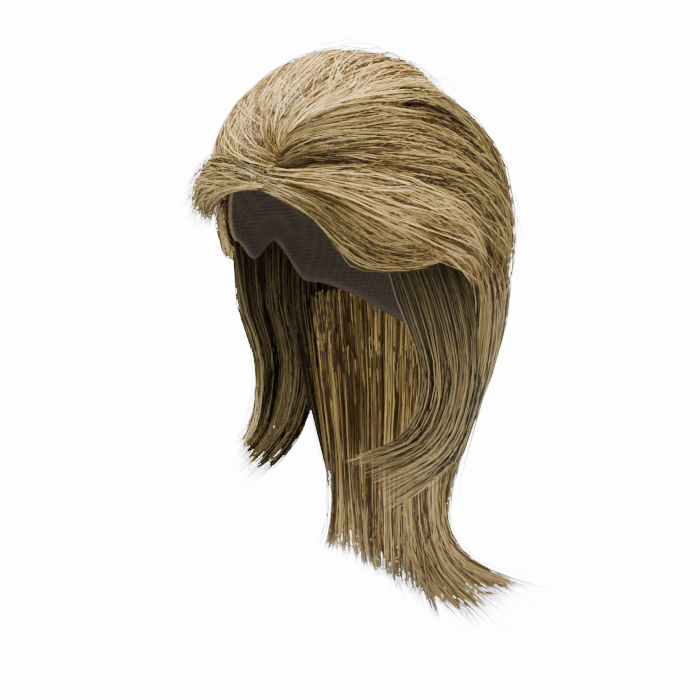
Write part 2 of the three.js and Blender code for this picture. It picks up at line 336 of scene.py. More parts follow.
# How much further the far edge of a swept sheet settles, in millimetres, and over what share of the width
FAR_EDGE_SINK = 9.0
FAR_EDGE_SHARE = 0.22

# Frizz: how unlike each other strands curl, how fast they do, how far in multiples of the sheet's frizz,
# and how much of that there is at the roots and how much more on stray strands
CURL_SPREAD = 200
CURL_RATE = 1.3
FRIZZ_REACH = 4
ROOT_FRIZZ = 0.15
STRAY_FRIZZ = 3

# Tint from 0 to 1: its middle, and how far strands, locks, depth and drift change it: strands and locks at
# random, depth as painted shade on deeper strands, and drift as painted shade where it lowers strands and
# painted light where it lifts them
TINT_MIDDLE = 0.65
TINT_BY_STRAND = 1.7
TINT_BY_LOCK = 1.0
SHADE_BY_DEPTH = 0.6
SHADE_AND_LIGHT_BY_DRIFT = 1.6

# Colours: the tints where the middle colour is full and where the light one sets in, how fast the painted shade
# at the roots fades, how fast the tips' glow grows and how much more of it pale strands have
MIDDLE_FULL = 0.55
LIGHT_START = 0.45
ROOT_FADE = 4
TIP_RISE = 2
TIP_BY_TINT = 2

# Strands: sides of their section, the thinnest as a share of the width, and how much and how late they taper
STRAND_SIDES = 3
THINNEST = 0.6
TAPER = 0.75
TAPER_POWER = 6

# Widths of the map for baking that hold the tints and the sides of a strand
MAP_TINTS = 0.94
MAP_SIDES = 0.05


def mirrored(stations):
    """The same sheet of hair on the wearer's other side."""
    return tuple((-row[0], row[1], row[2], -row[3], row[4], row[5], row[6]) for row in stations)


SHEETS = {
    "quiff": QUIFF,
    "fringe": FRINGE,
    "crown_top": CROWN_TOP,
    "wing_left_upper": WING_LEFT_UPPER,
    "wing_left_middle": WING_LEFT_MIDDLE,
    "wing_left_lower": WING_LEFT_LOWER,
    "wing_right_upper": WING_RIGHT_UPPER,
    "wing_right_middle": WING_RIGHT_MIDDLE,
    "wing_right_lower": WING_RIGHT_LOWER,
    "side_lock_left": SIDE_LOCK,
    "side_lock_right": mirrored(SIDE_LOCK),
    "back_left": BACK,
    "back_right": mirrored(BACK),
    "tail_left": TAIL,
    "tail_right": mirrored(TAIL),
}

# Guide surfaces: their room past a sheet's side edges and past its tips, as shares of the sheet,
# and their faces across and along
SIDE_ROOM = 0.10
TIP_ROOM = 0.12
GUIDE_COLUMNS = 40
GUIDE_ROWS = 44

# How far inside its border a guide surface is read, as a share of it
GUIDE_MARGIN = 0.001

# Distance that strands keep from the head, in millimetres: the cap's wall and a little more,
# the thickness of the layers that they are stacked in where they are pressed onto it,
# and the least room that is left for layers below a sheet
STRAND_OFF = 2.5
ROOT_LAYERS = 4.0
LEAST_ROOM = 0.5

# Finish of the hair and painted light on it: brightness of its colours, partly its own tone and partly painted
# light and shade, how dark its roots are, as painted shade, how pale its tips are, and its gloss
FINISH_AND_LIGHT_COLUMNS = ("tone_and_painted_light", "root_shade", "tip_glow", "gloss")
FINISHES_AND_PAINTED_LIGHT = {
    "quiff": (1.15, 0.35, 0.15, 0.15),
    "fringe": (0.54, 0.30, 0.05, 0.10),
    "wing_lower": (0.58, 0.45, 0.10, 0.15),
    "wing_middle": (0.90, 0.45, 0.10, 0.15),
    "wing_upper": (0.60, 0.45, 0.10, 0.15),
    "crown": (0.42, 0.20, 0.00, 0.15),
    "back": (0.31, 0.30, 0.20, 0.15),
    "side_lock": (0.09, 0.30, 0.65, 0.10),
    "tail": (1.05, 0.50, 0.70, 0.20),
}

# Cap: columns round it, rows down it and the share of the way down where they start, and its wall,
# the hem's share, thickness and ramp, and the sewn rows on its inside, their height and where they start.
# Lengths are in millimetres.
CAP_COLUMNS = 96
CAP_ROWS = 56
CAP_TOP = 0.02
CAP_WALL = 2.0
HEM_SHARE = 0.06
HEM_THICKNESS = 0.8
HEM_RAMP = 0.25
WEFT_ROWS = 13
WEFT_HEIGHT = 0.6
WEFT_START = 0.12

# Least half width or depth of the head, in millimetres, to divide by at its crown
LEAST_HALF = 1e-6

# Halves of the cap's map: the width that one side fills, and where the inside starts
CAP_MAP_WIDTH = 0.49
INSIDE_MAP = 0.5

# Lights: how wide they look, in degrees, and where they shine from, along the camera's back, right and up
LIGHTS = {
    "key": (20, (0.3, -0.45, 1.8)),
    "fill": (70, (0.8, 0.8, 0.3)),
}

# Camera's sensor in millimetres, and the floor's half width in metres and its finish
SENSOR_WIDTH = 36
FLOOR_HALF = 30
FLOOR_COLOUR = (0.45, 0.45, 0.45, 1)
FLOOR_ROUGHNESS = 0.9


class WigHair(bpy.types.PropertyGroup):
    """Sizes and colours of the strands."""

    strand_width: FloatProperty(
        name="Strand width", description="Thickness of a strand", default=0.7 * MM, unit="LENGTH")
    light: FloatVectorProperty(
        name="Light", description="Colour of pale strands", default=(0.84, 0.61, 0.23), subtype="COLOR")
    middle: FloatVectorProperty(
        name="Middle", description="Colour of most strands", default=(0.34, 0.215, 0.068), subtype="COLOR")
    dark: FloatVectorProperty(
        name="Dark", description="Colour of dark strands", default=(0.055, 0.030, 0.008), subtype="COLOR")
    # Colour of the painted highlights, also given to the paler tips
    streak: FloatVectorProperty(
        name="Streak", description="Colour of streaks and bright tips",
        default=(0.50, 0.375, 0.17), subtype="COLOR")
    roughness: FloatProperty(
        name="Roughness", description="Roughness of the strands", default=0.32, subtype="FACTOR")
    seed: IntProperty(name="Seed", description="Start of the random draws", default=7)


class WigCap(bpy.types.PropertyGroup):
    """Colours and threads of the cap."""

    net: FloatVectorProperty(
        name="Net", description="Colour of the stretch net", default=(0.040, 0.028, 0.018), subtype="COLOR")
    thread: FloatVectorProperty(
        name="Thread", description="Colour of its threads", default=(0.055, 0.039, 0.025), subtype="COLOR")
    outside: FloatVectorProperty(
        name="Outside", description="Colour of the outside, close to that of the roots",
        default=(0.11, 0.068, 0.022), subtype="COLOR")
    closeness: FloatProperty(
        name="Closeness", description="How close together the threads are", default=110.0)
    unevenness: FloatProperty(
        name="Unevenness", description="How far the threads stray", default=0.6)
    roughness: FloatProperty(
        name="Roughness", description="Roughness of the net", default=0.85, subtype="FACTOR")
    relief: FloatProperty(
        name="Relief", description="How strongly the threads stand out", default=0.5, subtype="FACTOR")
    height: FloatProperty(
        name="Height", description="Height of the threads", default=0.4 * MM, unit="LENGTH")


class WigStage(bpy.types.PropertyGroup):
    """Camera, floor and lights."""

    turn: FloatProperty(
        name="Turn", description="Camera's turn round the wig", default=math.radians(44), subtype="ANGLE")
    rise: FloatProperty(
        name="Rise", description="Camera's angle above level", default=math.radians(7), subtype="ANGLE")
    distance: FloatProperty(
        name="Distance", description="From the camera to the wig", default=1.8, unit="LENGTH")
    lens: FloatProperty(name="Lens", description="Focal length in millimetres", default=131.45)
    aside: FloatProperty(
        name="Aside", description="From the crown right to the view's middle", default=0.0021, unit="LENGTH")
    below: FloatProperty(
        name="Below", description="From the crown down to the view's middle", default=0.1725, unit="LENGTH")
    floor: FloatProperty(
        name="Floor", description="Height of the floor", default=-0.45, unit="LENGTH")
    key: FloatProperty(name="Key light", description="Strength of the main light", default=17.0)
    fill: FloatProperty(name="Fill light", description="Strength of the second light", default=2.4)
    backdrop: FloatProperty(
        name="Backdrop", description="How bright the floor and the sky look", default=14.0)
    sky: FloatProperty(name="Sky", description="Strength of the light from all round", default=0.7)


def placed(turn, reach, height):
    """Point at a turn in degrees, a reach from the head's axis and a height."""
    angle = np.radians(turn)
    return np.stack([reach * np.sin(angle), -reach * np.cos(angle), height * np.ones_like(angle)], axis=-1)


def spline(values, share):
    """Catmull-Rom curve through evenly spaced rows, going straight on past its end."""
    values = np.asarray(values, float)
    last = len(values) - 1
    padded = np.vstack([2 * values[0] - values[1], values, 2 * values[-1] - values[-2]])
    place = np.clip(share, 0, 1) * last
    index = np.minimum(place.astype(int), last - 1)
    t = (place - index)[..., None]
    p0, p1, p2, p3 = (padded[index + step] for step in range(4))
    curve = p1 + 0.5 * t * (p2 - p0 + t * (2 * p0 - 5 * p1 + 4 * p2 - p3 + t * (3 * (p1 - p2) + p3 - p0)))
    past = np.maximum(share - 1, 0)[..., None] * last
    return curve + past * (values[-1] - values[-2])


def sheet_points(stations, across, along):
    """Points of a sheet of hair in millimetres, at shares across from edge a to b and along to the tip."""
    rows = np.asarray(stations, float)
    edge_a = spline(placed(rows[:, 0], rows[:, 1], rows[:, 2]), along)
    edge_b = spline(placed(rows[:, 3], rows[:, 4], rows[:, 5]), along)
    arch = spline(rows[:, 6:7], along)
    share = across[..., None]
    points = edge_a + (edge_b - edge_a) * share
    outward = points.copy()
    outward[..., 2] -= np.minimum(points[..., 2], CORE_HEIGHT)
    outward /= np.linalg.norm(outward, axis=-1, keepdims=True)
    return points + outward * arch * 4 * share * (1 - share)


def grid_normals(points):
    """Normals of a grid of points, facing away from the head."""
    sideways = np.gradient(points, axis=1)
    lengthways = np.gradient(points, axis=0)
    normals = np.cross(sideways, lengthways)
    normals /= np.linalg.norm(normals, axis=-1, keepdims=True)
    row, column = points.shape[0] // 2, points.shape[1] // 2
    middle = points[row, column] - np.array([0, 0, CORE_HEIGHT])
    return normals * np.sign(normals[row, column] @ middle)


def grid_faces(rows, columns):
    """Four-sided faces of a grid of points."""
    index = np.arange((rows + 1) * (columns + 1)).reshape(rows + 1, columns + 1)
    corners = (index[:-1, :-1], index[:-1, 1:], index[1:, 1:], index[1:, :-1])
    return np.stack(corners, axis=-1).reshape(-1, 4)


def mesh_of(name, points, faces):
    """A mesh from points in millimetres."""
    mesh = bpy.data.meshes.new(name)
    mesh.from_pydata((np.asarray(points).reshape(-1, 3) * MM).tolist(), [], np.asarray(faces).tolist())
    return mesh


def face_outwards(mesh, normals):
    """Turns a mesh that starts with a grid of faces so that the grid's middle faces along its normals."""
    rows, columns = normals.shape[0] - 1, normals.shape[1] - 1
    middle = mesh.polygons[(rows // 2) * columns + columns // 2]
    if middle.normal.dot(Vector(normals[rows // 2, columns // 2])) < 0:
        mesh.flip_normals()


def set_map(mesh, name, places):
    """A UV map from a place for each vertex."""
    corners = np.empty(len(mesh.loops), np.int32)
    mesh.loops.foreach_get("vertex_index", corners)
    layer = mesh.uv_layers.new(name=name)
    layer.data.foreach_set("uv", np.asarray(places)[corners].astype(np.float32).ravel())


def shown(name, mesh):
    """An object for a mesh, in the scene."""
    piece = bpy.data.objects.new(name, mesh)
    bpy.context.scene.collection.objects.link(piece)
    return piece


def guide_mesh(name, stations):
    """Surface that strands are combed along, a little larger than the sheet, mapped from 0 to 1."""
    u, v = np.meshgrid(np.linspace(0, 1, GUIDE_COLUMNS + 1), np.linspace(0, 1, GUIDE_ROWS + 1))
    points = sheet_points(stations, u * (1 + 2 * SIDE_ROOM) - SIDE_ROOM, v * (1 + TIP_ROOM))
    mesh = mesh_of(name, points, grid_faces(GUIDE_ROWS, GUIDE_COLUMNS))
    face_outwards(mesh, grid_normals(points))
    set_map(mesh, "comb", np.stack([u, v], axis=-1).reshape(-1, 2))
    return mesh


class Term:
    """A number that nodes work out, so that formulas over strands read as plain arithmetic."""

    def __init__(self, tree, socket):
        self.tree = tree
        self.socket = socket

    def __add__(self, other):
        return worked(self.tree, "ADD", self, other)

    __radd__ = __add__

    def __sub__(self, other):
        return worked(self.tree, "SUBTRACT", self, other)

    def __rsub__(self, other):
        return worked(self.tree, "SUBTRACT", other, self)

    def __mul__(self, other):
        return worked(self.tree, "MULTIPLY", self, other)

    __rmul__ = __mul__

    def __truediv__(self, other):
        return worked(self.tree, "DIVIDE", self, other)

    def __rtruediv__(self, other):
        return worked(self.tree, "DIVIDE", other, self)

    def __pow__(self, other):
        return worked(self.tree, "POWER", self, other)


def plug(tree, socket, value):
    """Sets a socket, or links it where the value comes from another node."""
    if isinstance(value, Term):
        value = value.socket
    if isinstance(value, bpy.types.NodeSocket):
        tree.links.new(value, socket)
    else:
        socket.default_value = value


def node(tree, kind, inputs=None, **settings):
    """A node with its settings and inputs."""
    made = tree.nodes.new(kind)
    for name, value in settings.items():
        setattr(made, name, value)
    for key, value in (inputs or {}).items():
        plug(tree, made.inputs[key], value)
    return made


def worked(tree, operation, *values):
    """Result of a Math node."""
    made = node(tree, "ShaderNodeMath", dict(enumerate(values)), operation=operation)
    return Term(tree, made.outputs[0])


def between(tree, value, low, high, to_low, to_high):
    """A value carried over from one range to another, and kept inside it."""
    inputs = dict(enumerate((value, low, high, to_low, to_high)))
    return Term(tree, node(tree, "ShaderNodeMapRange", inputs).outputs[0])


def vector(tree, x, y, z):
    """A vector of three numbers."""
    return node(tree, "ShaderNodeCombineXYZ", dict(enumerate((x, y, z)))).outputs[0]


def vectors(tree, operation, *values):
    """Result of a Vector Math node."""
    made = tree.nodes.new("ShaderNodeVectorMath")
    made.operation = operation
    for socket, value in zip([s for s in made.inputs if s.enabled], values):
        plug(tree, socket, value)
    return made.outputs[0]


def smooth_noise(tree, x, y, z):
    """Noise from about -0.5 to 0.5 that changes smoothly with three numbers."""
    made = node(tree, "ShaderNodeTexNoise", {"Vector": vector(tree, x, y, z), "Scale": 1.0, "Detail": 1.0})
    return Term(tree, made.outputs["Fac"]) - 0.5


def stored(tree, geometry, name, kind, value, domain="POINT"):
    """Geometry with a named attribute."""
    made = node(tree, "GeometryNodeStoreNamedAttribute", data_type=kind, domain=domain)
    plug(tree, made.inputs["Geometry"], geometry)
    made.inputs["Name"].default_value = name
    plug(tree, made.inputs["Value"], value)
    return made.outputs[0]


def beside_head(tree, position):
    """A place's numbers and how it lies by the head: its level is 1 on the head and more outside it."""
    split = node(tree, "ShaderNodeSeparateXYZ", {0: position})
    x, y, z = (Term(tree, socket) for socket in split.outputs)
    widest = -CROWN_TO_WIDEST * MM
    half_width = between(tree, z, NECK_HEIGHT * MM, widest, NECK_HALF_WIDTH * MM, HEAD_HALF_WIDTH * MM)
    half_depth = between(tree, z, NECK_HEIGHT * MM, widest, NECK_HALF_DEPTH * MM, HEAD_HALF_DEPTH * MM)
    above = worked(tree, "MAXIMUM", z - widest, 0.0)
    level = ((x / half_width) ** 2 + (y / half_depth) ** 2 + (above / (CROWN_TO_WIDEST * MM)) ** 2) ** 0.5
    return x, y, z, above, level


def clear_of_head(tree, position, layer):
    """Pushes points out of the space that the head and the cap fill, and by the height of their layer."""
    x, y, z, above, level = beside_head(tree, position)
    push = worked(tree, "MAXIMUM", (1 + (STRAND_OFF + layer) / HEAD_HALF_WIDTH) / level, 1.0)
    return vector(tree, x * push, y * push, z - above + above * push)


def head_room(tree, position):
    """Distance from a place down to the cap, and at least a little."""
    x, y, z, above, level = beside_head(tree, position)
    outwards = (x ** 2 + y ** 2 + above ** 2) ** 0.5
    room = outwards * (1 - (1 + STRAND_OFF / HEAD_HALF_WIDTH) / level)
    return worked(tree, "MAXIMUM", room, LEAST_ROOM * MM)


def nearness(tree, position, spot):
    """How near a place is to a spot in a table: 1 at its middle, falling to 0 at its radius."""
    centre = placed(np.array(spot["turn"]), spot["reach"], spot["height"]) * MM
    away = vectors(tree, "SUBTRACT", position, tuple(centre.tolist()))
    split = node(tree, "ShaderNodeSeparateXYZ", {0: away})
    x, y, z = (Term(tree, socket) for socket in split.outputs)
    distance = (x ** 2 + y ** 2 + z ** 2) ** 0.5
    return between(tree, distance, 0.0, spot["radius"] * MM, 1.0, 0.0)


class Comb:
    """Works out, as nodes of a tree, where points of strands lie, how pale they are and how thick."""

    def __init__(self, tree, given):
        self.tree = tree
        self.given = {name: Term(tree, given[name]) for names in COMB_INPUTS.values() for name in names}
        self.strand = Term(tree, node(tree, "GeometryNodeCurveOfPoint").outputs["Curve Index"])
        factor = Term(tree, node(tree, "GeometryNodeSplineParameter").outputs["Factor"])
        self.t = factor ** self.given["Focus"]
        self.lock = worked(tree, "FLOOR", self.chance("lock", self.strand) * self.given["Locks"])
        self.spread = self.chance("spread", self.strand) + self.chance("spread_back", self.strand) - 1
        depth = self.chance("depth", self.strand)
        lock_depth = self.chance("lock_depth", self.lock)
        self.deep = (1 - DEPTH_BY_LOCK) * depth + DEPTH_BY_LOCK * lock_depth
        self.strays = self.some("stray", self.given["Stray"])
        self.loose = self.some("loose", self.given["Loose"])
        self.middle = self.lane()
        self.drift = self.noise(DRIFT, self.middle)
        skipped = FAN_SKIP * (1 - self.middle) ** FAN_SKIP_POWER
        fanned = worked(tree, "GREATER_THAN", self.chance("lock_fan", self.lock), skipped)
        self.sweep = self.given["Sweep"] * fanned

    def chance(self, draw, identity):
        """A random number from 0 to 1 that is fixed for a strand or a lock."""
        inputs = {7: identity, 8: self.given["Seed"] + DRAWS[draw]}
        return Term(self.tree, node(self.tree, "FunctionNodeRandomValue", inputs).outputs[1])

    def some(self, draw, share):
        """1 for a share of the strands and 0 for the others."""
        return worked(self.tree, "LESS_THAN", self.chance(draw, self.strand), share)

    def noise(self, rates, identity):
        """Smooth noise along a strand, for a strand or a lock."""
        across, along, sheets = rates
        return smooth_noise(self.tree, identity * across, self.t * along, self.given["Seed"] * sheets)

    def lane(self):
        """Share of the sheet's width where a strand runs: its lock's, or its own if it is loose."""
        jitter = LOCK_MARGIN + (1 - 2 * LOCK_MARGIN) * self.chance("lock_place", self.lock)
        in_lock = (self.lock + jitter) / self.given["Locks"]
        own = (self.strand + self.chance("loose_place", self.strand)) / self.given["Strands"]
        return in_lock + self.loose * (own - in_lock)

    def across(self):
        """Share of the sheet's width, from edge a to b, where a point lies."""
        t, middle = self.t, self.middle
        turn = self.chance("lock_turn", self.lock) - 0.5
        stir = (1 - self.loose) * (WAVE_WANDER * t * self.noise(WAVE, self.lock) + t ** 2 * turn)
        wander = self.given["Skew"] * (DRIFT_WANDER * t * self.drift + stir)
        cross = 2 * self.chance("cross", self.strand) - 1
        wander = wander + self.given["Cross"] * t * cross * (1 + STRAY_CROSS * self.strays)
        inside = worked(self.tree, "MINIMUM", EDGE_WANDER + 4 * middle * (1 - middle), 1.0)
        gather = 1 - self.given["Clump"] * t ** NARROW_POWER
        beside = (1 - self.loose) * self.spread * gather * self.given["Width"] / self.given["Locks"]
        swept = middle + (1 - middle) * self.sweep * (1 - t) ** (FAN_TURN - FAN_EASE * middle)
        across = swept + wander * inside + beside
        return worked(self.tree, "PINGPONG", across + SIDE_SPILL, 1 + 2 * SIDE_SPILL) - SIDE_SPILL

    def along(self):
        """Share of the sheet's length, from root to tip, where a point lies."""
        start = self.chance("start", self.strand)
        fanned = self.sweep * self.middle * (1 - FAN_START + FAN_START * start)
        root = self.given["Roots"] * ((1 - FAN_START * self.given["Sweep"]) * start ** 2 + fanned)
        lock_tip = self.chance("lock_tip", self.lock)
        uneven = TIP_BY_LOCK * lock_tip + (1 - TIP_BY_LOCK) * self.chance("tip", self.strand)
        tip = 1 - self.given["Tips"] * uneven + STRAY_LENGTH * self.strays
        return root + (tip - root) * self.t

    def on_guide(self, across):
        """Place and normal of a point on the guide surface."""
        tree = self.tree
        u = (across + SIDE_ROOM) / (1 + 2 * SIDE_ROOM)
        v = self.along() / (1 + TIP_ROOM)
        place = vectors(tree, "MAXIMUM", vector(tree, u, v, 0.0), (GUIDE_MARGIN,) * 3)
        place = vectors(tree, "MINIMUM", place, (1 - GUIDE_MARGIN,) * 3)
        comb_map = node(tree, "GeometryNodeInputNamedAttribute", {"Name": "comb"}, data_type="FLOAT_VECTOR")
        sampled = []
        for kind in ("GeometryNodeInputPosition", "GeometryNodeInputNormal"):
            made = node(tree, "GeometryNodeSampleUVSurface", data_type="FLOAT_VECTOR")
            plug(tree, made.inputs["Mesh"], self.given["Guide"])
            plug(tree, made.inputs["Value"], tree.nodes.new(kind).outputs[0])
            plug(tree, made.inputs["UV Map"], comb_map.outputs[0])
            plug(tree, made.inputs["Sample UV"], place)
            sampled.append(made.outputs[0])
        return sampled

    def hollowed(self, surface):
        """How far the hollows press a point in, and how much painted shade darkens it there."""
        pressed = shade = 0.0
        for row in HOLLOWS:
            spot = dict(zip(HOLLOW, row))
            share = nearness(self.tree, surface, spot)
            pressed = pressed + share * (spot["sink"] * MM)
            # Painted shade in the crease
            shade = shade + share * spot["shade"]
        return pressed, shade

    def streaked(self, surface):
        """How near a pale strand is to the middle of a painted highlight, and 0 for other strands."""
        streak = 0.0
        for row in PAINTED_HIGHLIGHTS:
            near = nearness(self.tree, surface, dict(zip(PAINTED_HIGHLIGHT_SPOT, row)))
            streak = worked(self.tree, "MAXIMUM", streak, near)
        return streak * self.some("streak", PAINTED_HIGHLIGHT_SHARE)

    def height(self, across, surface, pressed):
        """How far a point stands off the guide surface, or lies below it where there is room."""
        tree, t = self.tree, self.t
        dive = between(tree, t, 0.0, ROOT_DIVE_SHARE, 1.0, 0.0) ** 2 * (ROOT_DIVE * MM)
        edge = worked(tree, "MINIMUM", across, 1 - across)
        feather = between(tree, edge, EDGE_START, EDGE_SHARE, 1.0, 0.0) ** 2 * (EDGE_SINK * MM)
        far_edge = between(tree, across, EDGE_START, FAR_EDGE_SHARE, 1.0, 0.0) ** 2
        feather = feather + far_edge * self.given["Sweep"] * (FAR_EDGE_SINK * MM)
        lift = DRIFT_LIFT * self.drift + LOCK_LIFT - LOCK_LIFT_LESS * self.chance("lock_lift", self.lock)
        layer = self.given["Depth"] * self.deep * (1 - TIP_FLATTEN * t * self.given["Clump"])
        height = self.given["Lift"] * lift - dive - feather
        height = height - pressed - t ** 3 * (TIP_SETTLE * MM)
        height = height - self.spread ** 2 * (LOCK_SAG * MM) - layer
        height = height + self.given["Lift"] * RIPPLE_LIFT * self.noise(RIPPLE, self.lock)
        straying = self.strays * self.chance("stray_lift", self.strand) * t ** 2
        height = height + straying * STRAY_LIFT * self.given["Lift"]
        sunk = worked(tree, "MINIMUM", height, 0.0)
        room = head_room(tree, surface)
        return height - sunk + room * worked(tree, "TANH", sunk / room)

    def frizz(self):
        """Curl of single strands, which grows towards their tips."""
        tree = self.tree
        where = vector(tree, self.chance("curl", self.strand) * CURL_SPREAD, self.t * CURL_RATE, 0.0)
        curl = node(tree, "ShaderNodeTexNoise", {"Vector": where, "Scale": 1.0, "Detail": 1.0})
        curl = vectors(tree, "SUBTRACT", curl.outputs["Color"], (0.5,) * 3)
        growth = ROOT_FRIZZ + self.t + STRAY_FRIZZ * self.strays * self.t
        return vectors(tree, "SCALE", curl, FRIZZ_REACH * self.given["Frizz"] * growth)

    def tint(self, shade, streak):
        """How pale a point is, from 0 to 1, with painted light and shade in it, and more on a painted
        highlight.
        """
        tint = TINT_MIDDLE + TINT_BY_STRAND * (self.chance("tint", self.strand) - 0.5)
        tint = tint + TINT_BY_LOCK * (self.chance("lock_tint", self.lock) - 0.5)
        # Painted shade on deeper strands and in the hollows, painted light where drift lifts strands and
        # painted shade where it lowers them
        tint = tint - SHADE_BY_DEPTH * self.deep + SHADE_AND_LIGHT_BY_DRIFT * self.drift - shade
        tint = worked(self.tree, "MAXIMUM", tint, 0.0)
        tint = worked(self.tree, "MINIMUM", tint, 1.0)
        return tint + (PAINTED_HIGHLIGHT_TINT - tint) * streak

    def radius(self):
        """Half the thickness of a strand, which tapers at its tip."""
        thickness = THINNEST + (1 - THINNEST) * self.chance("radius", self.strand)
        return self.given["Radius"] * thickness * (1 - TAPER * self.t ** TAPER_POWER)


def straight_strands(tree, count, points):
    """Straight curves with a number of points, one for each strand."""
    places = node(tree, "GeometryNodePoints", {"Count": count}).outputs[0]
    line = node(tree, "GeometryNodeCurvePrimitiveLine").outputs[0]
    line = node(tree, "GeometryNodeResampleCurve", {"Curve": line, "Count": points}).outputs[0]
    strands = node(tree, "GeometryNodeInstanceOnPoints", {"Points": places, "Instance": line}).outputs[0]
    return node(tree, "GeometryNodeRealizeInstances", {"Geometry": strands}).outputs[0]


def thickened(tree, strands, radius):
    """Closed meshes round strands, mapped for baking by tint, side and share of the length."""
    section = {"Resolution": STRAND_SIDES, "Radius": 1.0}
    ring = node(tree, "GeometryNodeCurvePrimitiveCircle", section).outputs[0]
    side = Term(tree, node(tree, "GeometryNodeInputIndex").outputs[0])
    ring = stored(tree, ring, "side", "FLOAT", side / STRAND_SIDES)
    made = node(tree, "GeometryNodeCurveToMesh", {"Curve": strands, "Profile Curve": ring, "Scale": radius})
    made.inputs["Fill Caps"].default_value = True
    mesh = node(tree, "GeometryNodeSetShadeSmooth", {"Geometry": made.outputs[0]}).outputs[0]
    read = {}
    for name in ("tint", "along", "side"):
        found = node(tree, "GeometryNodeInputNamedAttribute", {"Name": name}, data_type="FLOAT").outputs[0]
        read[name] = Term(tree, found)
    u = read["tint"] * (MAP_TINTS / PAINTED_HIGHLIGHT_TINT) + read["side"] * MAP_SIDES
    mesh = stored(tree, mesh, "OFBake", "FLOAT2", vector(tree, u, read["along"], 0.0), domain="CORNER")
    return node(tree, "GeometryNodeRealizeInstances", {"Geometry": mesh}).outputs[0]


def comb_tree():
    """Geometry Nodes that comb strands along a guide surface, in locks that gather towards their tips."""
    tree = bpy.data.node_groups.new("Combed strands", "GeometryNodeTree")
    tree.is_modifier = True
    for kind, names in COMB_INPUTS.items():
        for name in names:
            tree.interface.new_socket(name, in_out="INPUT", socket_type=f"NodeSocket{kind}")
    tree.interface.new_socket("Strands", in_out="OUTPUT", socket_type="NodeSocketGeometry")
    given = tree.nodes.new("NodeGroupInput").outputs
    comb = Comb(tree, given)
    across = comb.across()
    surface, normal = comb.on_guide(across)
    pressed, shade = comb.hollowed(surface)
    rise = vectors(tree, "SCALE", normal, comb.height(across, surface, pressed))
    position = vectors(tree, "ADD", vectors(tree, "ADD", surface, rise), comb.frizz())
    position = clear_of_head(tree, position, ROOT_LAYERS * (1 - comb.deep))
    strands = straight_strands(tree, given["Strands"], given["Points"])
    strands = node(tree, "GeometryNodeSetPosition", {"Geometry": strands, "Position": position}).outputs[0]
    # The tint holds the strands' own tone with painted light and shade in it
    strands = stored(tree, strands, "tint", "FLOAT", comb.tint(shade, comb.streaked(surface)))
    strands = stored(tree, strands, "along", "FLOAT", comb.t)
    mesh = thickened(tree, strands, comb.radius())
    finished = {"Geometry": mesh, "Material": given["Material"]}
    mesh = node(tree, "GeometryNodeSetMaterial", finished).outputs[0]
    plug(tree, tree.nodes.new("NodeGroupOutput").inputs[0], mesh)
    return tree


def combed(name, stations, values, seed, material):
    """A plain mesh of strands combed over a sheet of hair."""
    tree = bpy.data.node_groups.get("Combed strands") or comb_tree()
    guide = shown(name + "_guide", guide_mesh(name + "_guide", stations))
    modifier = guide.modifiers.new("Comb", "NODES")
    modifier.node_group = tree
    chosen = {column.capitalize(): value for column, value in values.items()}
    for column in FLOW_LENGTHS:
        chosen[column.capitalize()] = values[column] * MM
    chosen["Radius"] = bpy.context.scene.wig_hair.strand_width / 2 * values["thick"]
    chosen["Seed"] = seed
    chosen["Material"] = material
    for item in tree.interface.items_tree:
        if item.in_out == "INPUT" and item.name in chosen:
            modifier[item.identifier] = chosen[item.name]
    graph = bpy.context.evaluated_depsgraph_get()
    evaluated = guide.evaluated_get(graph)
    mesh = bpy.data.meshes.new_from_object(evaluated, preserve_all_data_layers=True, depsgraph=graph)
    guide_data = guide.data
    guide.modifiers.clear()
    bpy.data.objects.remove(guide)
    bpy.data.meshes.remove(guide_data)
    return mesh


def combing(node_name):
    """How a sheet is combed: its own rows of the tables, or those that it shares with its mirror image."""
    key = node_name if node_name in STRANDS else node_name.rsplit("_", 1)[0]
    return dict(zip(STRAND_COLUMNS + FLOW_COLUMNS, STRANDS[key] + FLOWS[key]))


def hair_piece(node_name, material):
    """Makes the hair that stands for one packed sheet."""
    values = combing(node_name)
    seed = bpy.context.scene.wig_hair.seed + SEED_STEP * (1 + list(SHEETS).index(node_name))
    strands = combed(node_name, SHEETS[node_name], values, seed, material)
    if len(strands.polygons) < values["strands"]:
        raise RuntimeError(f"no strands were combed for {node_name}")
    piece = shown(node_name + "_hair", strands)
    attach(piece, BODY)
    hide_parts(node_name)
    return piece


def mixed(tree, share, first, second):
    """Result of a colour Mix node."""
    made = tree.nodes.new("ShaderNodeMix")
    made.data_type = "RGBA"
    plug(tree, made.inputs[0], share)
    plug(tree, made.inputs[6], first)
    plug(tree, made.inputs[7], second)
    return made.outputs[2]


